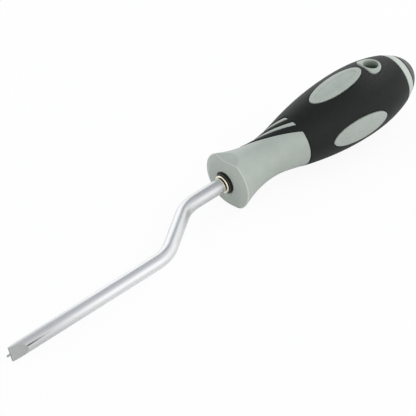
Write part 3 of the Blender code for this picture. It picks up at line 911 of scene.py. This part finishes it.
def handle_rows(sizes):
    """Distances of the handle's rows: the nose face below zero, then the outside."""
    face = np.linspace(-SEAT_RADIUS, 0.0, FACE_ROWS)
    lip = sizes.border_depth * np.linspace(0.0, 1.0, LIP_ROWS)[1:] ** LIP_CROWDING
    behind = lip[-1] + np.linspace(0.0, BEHIND_LIP, BEHIND_LIP_ROWS)[1:]
    start = behind[-1]
    body = np.linspace(start, BAND_REAR - EDGE_ROUND, round((BAND_REAR - start) / sizes.cell))[1:]
    edge = BAND_REAR - EDGE_ROUND * (1 - np.sin(np.linspace(0.0, QUARTER, EDGE_ROWS)[1:]))
    return np.concatenate((face, lip, behind, body, edge))


def cut_handle_sheet(sizes):
    """The handle's unrolled outside, cut along every border of the bare patches."""
    work = unrolled_sheet(handle_rows(sizes), sizes.columns)
    pads = [sizes.pad_round * share for share in PAD_CUTS]
    rubber = [-sizes.seam - sizes.rubber_round * share for share in RUBBER_CUTS]
    soft = sizes.nose_softness
    cut_along(work, [*pads, POCKET_CUT, *rubber], bare_field, sizes)
    cut_along(work, HOLE_CUTS, hole_field, sizes)
    cut_along(work, (-PANEL_EDGE, 0.0, PANEL_EDGE), panel_field, sizes)
    cut_along(work, (-soft, -soft / 2, 0.0, soft / 2, soft), flat_field, sizes)
    return work


def place_on_handle(work, distance, angle, radius):
    """Roll an unrolled sheet up into the handle's frame."""
    for vertex, x, a, r in zip(work.verts, distance, angle, radius):
        vertex.co = (x, r * math.cos(a), r * math.sin(a))


def line_hole(work, sizes):
    """Join the hanging hole's two rims with its wall."""
    rim = [edge for edge in work.edges if edge.is_boundary and near_hole(edge, sizes)]
    lower = list({vertex for edge in rim for vertex in edge.verts if vertex.co.z < 0})
    tree = kdtree.KDTree(len(lower))
    for index, vertex in enumerate(lower):
        tree.insert(vertex.co, index)
    tree.balance()

    def partner(vertex):
        _, index, gap = tree.find((vertex.co.x, vertex.co.y, -vertex.co.z))
        if gap > RIM_MATCH:
            raise RuntimeError("the hanging hole's rims don't match")
        return lower[index]

    for edge in rim:
        first, second = edge.verts
        if first.co.z > 0:
            corners = list(dict.fromkeys((first, second, partner(second), partner(first))))
            work.faces.new(corners)


def near_hole(edge, sizes):
    """True for an edge close to the hanging hole's axis."""
    middle = (edge.verts[0].co + edge.verts[1].co) / 2
    return math.hypot(middle.x - HOLE_X, middle.y) < sizes.hole_diameter


def line_bores(work, sizes):
    """Close the core inside with its bush seat, bar bore and cap socket."""
    rim = core_radius(np.array([BAND_REAR]), sizes)[0] - EDGE_ROUND
    seat = [(0.0, SEAT_RADIUS), (SEAT_DEPTH, SEAT_RADIUS)]
    bore = [(SEAT_DEPTH, BORE_RADIUS), (BORE_END, BORE_RADIUS), (BORE_END, 0.0)]
    mouth = [(BAND_REAR, rim), (BAND_REAR, SOCKET_RADIUS)]
    socket = [(SOCKET_END, SOCKET_RADIUS), (SOCKET_END, 0.0)]
    lathe(work, seat + bore, sizes.columns)
    lathe(work, mouth + socket, sizes.columns)
    weld(work, BORE_WELD)


class MakeRubberGrip(bpy.types.Operator):
    """Make the soft grip as a shell with rounded edges round the bare patches"""

    bl_idname = "screwdriver.rubber_grip"
    bl_label = "Rubber Grip"

    def execute(self, context):
        sizes = context.scene.screwdriver_handle
        work = cut_handle_sheet(sizes)
        delete_faces(work, bare_field(*face_plan(work), sizes) >= -sizes.seam)
        distance, angle = vertex_plan(work)
        field = bare_field(distance, angle, sizes)
        drop = rounded_drop(-field - sizes.seam, sizes.rubber_round)
        place_on_handle(work, distance, angle, grip_radius(distance, sizes) - drop)
        weld(work)
        back_shell(work, sizes.rubber_depth - POCKET_ROOM)
        split_big_faces(work)
        finish = black_rubber(context.scene.screwdriver_colours)
        finish_piece("soft_grip", work, HANDLE_FRAME, "handle", [finish], "rubber_grip")
        return {"FINISHED"}


def back_shell(work, depth):
    """Close a sheet into a shell with walls and an inner skin."""
    skin = work.faces[:]
    border = [edge for edge in work.edges if edge.is_boundary]
    inner = {}
    for vertex in work.verts[:]:
        radius = math.hypot(vertex.co.y, vertex.co.z)
        scale = 1.0 - depth / radius
        inner[vertex] = work.verts.new((vertex.co.x, vertex.co.y * scale, vertex.co.z * scale))
    for face in skin:
        work.faces.new([inner[vertex] for vertex in reversed(face.verts)])
    for edge in border:
        first, second = edge.verts
        work.faces.new((first, second, inner[second], inner[first]))


class MakeButtCap(bpy.types.Operator):
    """Make the domed butt cap with its rounded front edge and spigot"""

    bl_idname = "screwdriver.butt_cap"
    bl_label = "Butt Cap"

    def execute(self, context):
        xs = CAP_FRONT + (HANDLE_END - CAP_FRONT) * np.cos(np.linspace(0.0, QUARTER, CAP_ROWS))
        radii = dome_radius(xs) - rounded_drop(xs - CAP_FRONT, EDGE_ROUND)
        outline = [(HANDLE_END, 0.0)] + list(zip(xs[1:], radii[1:]))
        spigot = SOCKET_RADIUS - GAP
        outline += [(CAP_FRONT, spigot), (SOCKET_END + GAP, spigot), (SOCKET_END + GAP, 0.0)]
        work = bmesh.new()
        lathe(work, outline, CAP_COLUMNS)
        finish = cap_plastic(context.scene.screwdriver_colours)
        finish_piece("end_cap", work, HANDLE_FRAME, "handle", [finish], "butt_cap")
        return {"FINISHED"}


class MakeBearings(bpy.types.Operator):
    """Make the flanged front bush, the thrust washer and the snap ring round the bar"""

    bl_idname = "screwdriver.bearings"
    bl_label = "Bush and Rings"

    def execute(self, context):
        colours = context.scene.screwdriver_colours
        crank = crank_frame(context.scene.screwdriver_crank)
        nylon = black_nylon(colours)
        bright = ring_steel("bright_steel", colours.ring, 0.26)
        plain = ring_steel("plain_steel", colours.steel, 0.3)
        flange = rounded_ring(*FLANGE)
        corner = len(flange) // 4
        barrel = [(FLANGE[1], BUSH_RADIUS), (BUSH_END, BUSH_RADIUS), (BUSH_END, RUNNING_RADIUS)]
        bush = flange[:2 * corner] + barrel + flange[3 * corner:]
        washer = rounded_ring(*WASHER)
        ring = rounded_ring(*RING)
        turned_piece("nose_bush", bush, HANDLE_FRAME, "handle", nylon, "front_bush")
        turned_piece("nose_washer", washer, crank, "crank", nylon, "thrust_washer")
        turned_piece("bright_ring", ring, crank, "crank", bright, "snap_ring")
        for node in ("spacer_tube", "rear_washer", "rear_circlip"):
            set_material(frame["nodes"][node], plain)
        set_material(frame["nodes"]["rear_bush"], nylon)
        return {"FINISHED"}


def turned_piece(name, outline, place, body, material, replaces):
    """Turn a closed outline into a piece."""
    work = bmesh.new()
    lathe(work, outline, RING_COLUMNS, closed=True)
    finish_piece(name, work, place, body, [material], replaces, TURNED_SHARP)


def set_material(obj, material):
    """Give a CAD node a finish."""
    obj.data.materials.clear()
    obj.data.materials.append(material)


def crank_frame(sizes):
    """The crank's own frame: turned about the handle's axis as the tool lies."""
    return HANDLE_FRAME @ Matrix.Rotation(sizes.turn, 4, "X")


class MakeCrankShaft(bpy.types.Operator):
    """Make the bent bar with its hollow-ground blade and pilot pin"""

    bl_idname = "screwdriver.crank_shaft"
    bl_label = "Crank Shaft"

    def execute(self, context):
        sizes = context.scene.screwdriver_crank
        colours = context.scene.screwdriver_colours
        path, length = bar_path(sizes)
        work = unrolled_sheet(bar_rows(sizes, length), sizes.sides)
        cut_along(work, (0.0,), grind_field, sizes, path)
        distance, angle = face_plan(work)
        ground = grind_field(distance, angle, sizes, path) > 0.0
        grooved = bar_thickness(sizes.bar_inner - distance, sizes) < sizes.bar_radius - GROOVE_DEPTH / 2
        for face, is_ground, is_grooved in zip(work.faces, ground, grooved):
            # The groove's faces take the painted shade
            face.material_index = SHADED_GROOVE if is_grooved else GROUND if is_ground else PLATED
        roll_up_bar(work, sizes, path)
        weld(work)
        bmesh.ops.holes_fill(work, edges=[edge for edge in work.edges if edge.is_boundary])
        add_pin(work, sizes)
        split_big_faces(work)
        groove_shade_finish = ring_steel("groove_shade_steel", colours.groove_shade, 0.35)
        finishes = [plated_steel(colours, sizes), ground_steel(colours), groove_shade_finish]
        place = crank_frame(sizes)
        finish_piece("bent_bar", work, place, "crank", finishes, "crank_shaft", BAR_SHARP)
        return {"FINISHED"}


def bar_path(sizes):
    """Centre line of the bar in the plane of its bends, and its length."""
    slope = math.atan2(sizes.offset, sizes.run)
    tangent = sizes.bend_radius * math.tan(slope / 2)
    first = (tangent - sizes.to_bend, -sizes.bend_radius)
    second = (-sizes.to_bend - sizes.run - tangent, sizes.bend_radius - sizes.offset)
    points = [(sizes.bar_inner, 0.0)]
    for (x, z), start, end in ((first, QUARTER, QUARTER + slope), (second, slope - QUARTER, -QUARTER)):
        for turn in np.linspace(start, end, BEND_ROWS):
            points.append((x + sizes.bend_radius * math.cos(turn), z + sizes.bend_radius * math.sin(turn)))
    points.append((-sizes.to_blade, -sizes.offset))
    points = np.array(points)
    lengths = np.concatenate(([0.0], np.cumsum(np.hypot(*np.diff(points, axis=0).T))))

    def at(s):
        return np.interp(s, lengths, points[:, 0]), np.interp(s, lengths, points[:, 1])

    return at, lengths[-1]


def bar_rows(sizes, length):
    """Lengths along the bar of its rows, close together at the blade."""
    blade = length - sizes.blade_length - ABOVE_BLADE
    front, back = GROOVE
    groove = [sizes.bar_inner - x for x in (front, front + GROOVE_EDGE, back - GROOVE_EDGE, back)]
    bar = np.linspace(0.0, blade, BAR_ROWS)
    return sorted([*bar, *np.linspace(blade, length, BLADE_ROWS)[1:], *groove])


def bar_thickness(x, sizes):
    """Radius of the bar, which drops into the snap ring's groove."""
    front, back = GROOVE
    inside = np.minimum(x - front, back - x)
    return sizes.bar_radius - GROOVE_DEPTH * np.clip(inside / GROOVE_EDGE, 0.0, 1.0)


def grind_field(s, angle, sizes, path):
    """How far the round bar stands above the blade's ground faces."""
    x, _ = path(s)
    half = sizes.blade_thickness / 2
    return sizes.bar_radius * np.abs(np.cos(angle - sizes.blade_turn)) - half - grind_rise(x, sizes)


def grind_rise(x, sizes):
    """Height of the hollow grind above the blade's end."""
    rise = sizes.bar_radius - sizes.blade_thickness / 2
    length = sizes.blade_length
    lean = math.atan2(rise, length)
    swing = math.asin(math.hypot(length, rise) / (2 * sizes.grind_radius))
    depth = sizes.grind_radius * math.cos(swing)
    centre_x = -sizes.to_blade + length / 2 - depth * math.sin(lean)
    centre_h = rise / 2 + depth * math.cos(lean)
    inside = np.clip(sizes.grind_radius ** 2 - (x - centre_x) ** 2, 0.0, None)
    return centre_h - np.sqrt(inside)


def roll_up_bar(work, sizes, path):
    """Roll the bar's unrolled skin round its centre line, clipped by the grind."""
    distance, angle = vertex_plan(work)
    x, z = path(distance)
    x_before, z_before = path(distance - PATH_STEP)
    x_after, z_after = path(distance + PATH_STEP)
    slope = np.arctan2(z_after - z_before, x_after - x_before)
    limit = sizes.blade_thickness / 2 + grind_rise(x, sizes)
    radius = bar_thickness(x, sizes)
    across = radius * np.cos(angle - sizes.blade_turn)
    along = radius * np.sin(angle - sizes.blade_turn)
    across = np.clip(across, -limit, limit)
    y = across * math.cos(sizes.blade_turn) - along * math.sin(sizes.blade_turn)
    up = across * math.sin(sizes.blade_turn) + along * math.cos(sizes.blade_turn)
    for vertex, *values in zip(work.verts, x, z, slope, y, up):
        px, pz, tilt, side, height = values
        vertex.co = (px + height * math.sin(tilt), side, pz - height * math.cos(tilt))


def add_pin(work, sizes):
    """Add the pilot pin at the middle of the blade's end."""
    root = sizes.blade_length / 2 - sizes.to_blade
    end = -sizes.to_blade - sizes.pin_length
    radius = sizes.pin_radius
    chamfer = radius / 2
    outline = [(root, 0.0), (root, radius), (end + chamfer, radius), (end, chamfer), (end, 0.0)]
    rings = lathe(work, outline, PIN_COLUMNS)
    corners = {vertex for ring in rings for vertex in ring}
    for face in {face for vertex in corners for face in vertex.link_faces}:
        face.material_index = GROUND
    for vertex in corners:
        vertex.co.z -= sizes.offset


class MakeStage(bpy.types.Operator):
    """Make the pale floor, the soft surroundings, the lamp and the camera"""

    bl_idname = "screwdriver.stage"
    bl_label = "Stage"

    def execute(self, context):
        settings = context.scene.screwdriver_stage
        make_floor(settings)
        make_sky(context.scene, settings)
        make_lamp(settings)
        make_camera(context.scene, settings)
        context.scene.view_settings.view_transform = "Standard"
        return {"FINISHED"}


def make_floor(settings):
    """A white floor that shows the camera only a faint shadow."""
    work = bmesh.new()
    bmesh.ops.create_grid(work, x_segments=4, y_segments=4, size=settings.floor_size)
    floor = add_mesh("floor", work)
    finish = Finish("floor")
    dark, light = FLOOR_TONES
    colour = finish.mix(finish.noise(400.0, 3.0), shade(WHITE, dark), shade(WHITE, light))
    finish.surface(base_color=colour, roughness=0.9)
    glow = finish.node("ShaderNodeEmission", {}, {"Color": WHITE, "Strength": 1.0})
    seen = finish.node("ShaderNodeLightPath", output="Is Camera Ray")
    shown = seen.larger(finish.node("ShaderNodeLightPath", output="Is Glossy Ray") * FLOOR_GLOSS)
    share = shown * (1.0 - settings.shadow_share)
    plain = Signal(finish, finish.shader.outputs[0])
    mixed = finish.node("ShaderNodeMixShader", {}, {0: share, 1: plain, 2: glow})
    finish.link(finish.tree.nodes["Material Output"].inputs["Surface"], mixed)
    floor.data.materials.append(finish.material)


def make_sky(scene, settings):
    """Pale surroundings, bright at the sides, dark overhead and in a corner, white to the camera."""
    world = bpy.data.worlds.new("studio")
    world.use_nodes = True
    scene.world = world
    sky = Finish("studio", world.node_tree)
    way = sky.node("ShaderNodeTexCoord", output="Generated")
    overhead = sky.dot(way, OVERHEAD).between(*OVERHEAD_STEP)
    corner = sky.dot(way, CORNER).between(*CORNER_STEP)
    patch = (overhead + corner * CORNER_SHARE).math("MINIMUM", DARK_LIMIT)
    level = settings.sky_level - patch * (settings.sky_level - settings.dark_level)
    level = level + abs(sky.dot(way, SIDE)).between(*SIDE_STEP) * settings.side_level
    seen = sky.node("ShaderNodeLightPath", output="Is Camera Ray")
    level = level * (1.0 - seen) + seen
    tint = sky.mix(patch * (1.0 - seen), WHITE, DARK_TINT)
    background = world.node_tree.nodes["Background"]
    sky.link(background.inputs["Color"], tint)
    sky.link(background.inputs["Strength"], level)


def make_lamp(settings):
    """A wide soft lamp towards the butt that doesn't show in the plating."""
    data = bpy.data.lights.new("soft_lamp", "AREA")
    data.energy = settings.lamp_power
    data.size = LAMP_SIZE
    lamp = add_object("soft_lamp", data)
    lamp.location = LAMP_PLACE
    lamp.rotation_euler = lamp.location.to_track_quat("Z", "Y").to_euler()
    lamp.visible_glossy = False


def make_camera(scene, settings):
    """A long-lens camera fitted to the photograph."""
    turn = Matrix((CAMERA_RIGHT, -CAMERA_DOWN, -CAMERA_AHEAD)).transposed()
    spot = -(CAMERA_RIGHT * NOSE_SEEN.x + CAMERA_DOWN * NOSE_SEEN.y + CAMERA_AHEAD * NOSE_SEEN.z)
    data = bpy.data.cameras.new("camera")
    data.lens = settings.lens
    data.sensor_width = SENSOR_WIDTH
    data.clip_end = CLIP_END
    camera = add_object("camera", data)
    camera.matrix_world = HANDLE_FRAME @ Matrix.Translation(spot) @ turn.to_4x4()
    scene.camera = camera


class ScrewdriverPanel(bpy.types.Panel):
    """Lists the pieces and their sizes"""

    bl_idname = "VIEW3D_PT_screwdriver"
    bl_label = "Spoke Nipple Screwdriver"
    bl_space_type = "VIEW_3D"
    bl_region_type = "UI"
    bl_category = "Screwdriver"

    def draw(self, context):
        for operator in OPERATORS:
            self.layout.operator(operator.bl_idname)
        for name in GROUPS:
            box = self.layout.box()
            group = getattr(context.scene, name)
            for key in group.__annotations__:
                box.prop(group, key)


OPERATORS = (MakeHandleCore, MakeRubberGrip, MakeButtCap, MakeBearings, MakeCrankShaft, MakeStage)
GROUPS = {
    "screwdriver_handle": HandleSizes,
    "screwdriver_crank": CrankSizes,
    "screwdriver_colours": FinishColours,
    "screwdriver_stage": StageSettings,
}
CLASSES = (*GROUPS.values(), *OPERATORS, ScrewdriverPanel)


def register():
    for cls in CLASSES:
        bpy.utils.register_class(cls)
    for name, group in GROUPS.items():
        setattr(bpy.types.Scene, name, PointerProperty(type=group))


def unregister():
    for name in GROUPS:
        delattr(bpy.types.Scene, name)
    for cls in reversed(CLASSES):
        bpy.utils.unregister_class(cls)


def main():
    register()
    for operator in OPERATORS:
        family, action = operator.bl_idname.split(".")
        getattr(getattr(bpy.ops, family), action)()


if __name__ == "__main__":
    main()
